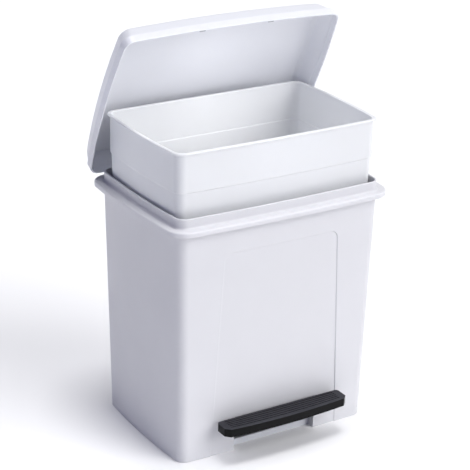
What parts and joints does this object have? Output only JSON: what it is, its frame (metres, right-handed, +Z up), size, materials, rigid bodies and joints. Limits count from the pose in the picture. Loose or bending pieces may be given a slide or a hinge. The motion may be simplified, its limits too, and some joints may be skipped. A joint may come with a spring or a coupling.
{
  "type": "pedal trash can",
  "caption": "Free-standing rectangular pedal trash can with a hinged lid, a foot pedal that opens it and a lift-out inner bucket.",
  "frame": {"origin": "on the floor, at the middle of the base", "axes": "+Z up, the pedal side faces -Y, +X to the right when seen from the front"},
  "size_m": [0.4082, 0.3545, 0.6709],
  "materials": {
    "shell_plastic": "satin moulded polypropylene",
    "lid_plastic": "satin moulded polypropylene",
    "bucket_plastic": "satin moulded polypropylene",
    "base_plastic": "moulded polypropylene",
    "pedal_plastic": "glossy moulded plastic",
    "lever_plastic": "moulded plastic",
    "nylon": "natural nylon",
    "buffer_rubber": "soft grey rubber",
    "pin_steel": "drawn steel",
    "screw_steel": "zinc plated steel"
  },
  "bodies": {
    "body": {"outer_shell": "shell_plastic", "base_plate": "base_plastic", "base_screws": "screw_steel", "hinge_pin_left": "pin_steel", "hinge_pin_right": "pin_steel", "axle_clip_left": "pin_steel", "axle_clip_right": "pin_steel", "pedal_axle": "pin_steel", "rod_guide_lower": "nylon", "rod_guide_upper": "nylon", "guide_screws": "screw_steel"},
    "lid": {"lid_shell": "lid_plastic", "lid_crank": "nylon", "crank_screws": "screw_steel", "lid_buffer_left": "buffer_rubber", "lid_buffer_right": "buffer_rubber"},
    "pedal": {"pedal_lever": "lever_plastic", "pedal_tread": "pedal_plastic", "tread_screws": "screw_steel", "lever_pad": "nylon"},
    "rod": {"push_rod": "pin_steel", "rod_cap": "nylon", "rod_foot": "nylon"},
    "inner_bucket": {"bucket": "bucket_plastic"}
  },
  "joints": [
    {"name": "lid_hinge", "type": "hinge", "parent": "body", "child": "lid", "pos_m": [0, 0.147, 0.405], "axis": [-1, 0, 0], "range_deg": [-62.8, 12]},
    {"name": "pedal_pivot", "type": "hinge", "parent": "body", "child": "pedal", "pos_m": [0, -0.015, 0.052], "axis": [1, 0, 0], "range_deg": [-11.76, 2.26]},
    {"name": "rod_slide", "type": "slide", "parent": "body", "child": "rod", "axis": [0, 0.018, 0.9998], "range_m": [-0.02659, 0.0051]},
    {"name": "bucket_lift", "type": "slide", "parent": "body", "child": "inner_bucket", "axis": [0, 0, 1], "range_m": [-0.0962, 0.0184]}
  ],
  "couplings": [
    {"joint": "pedal_pivot", "follows": "lid_hinge", "ratio": 0.187},
    {"joint": "rod_slide", "follows": "lid_hinge", "m_per_rad": 0.02424},
    {"joint": "bucket_lift", "follows": "lid_hinge", "m_per_rad": 0.087767}
  ]
}
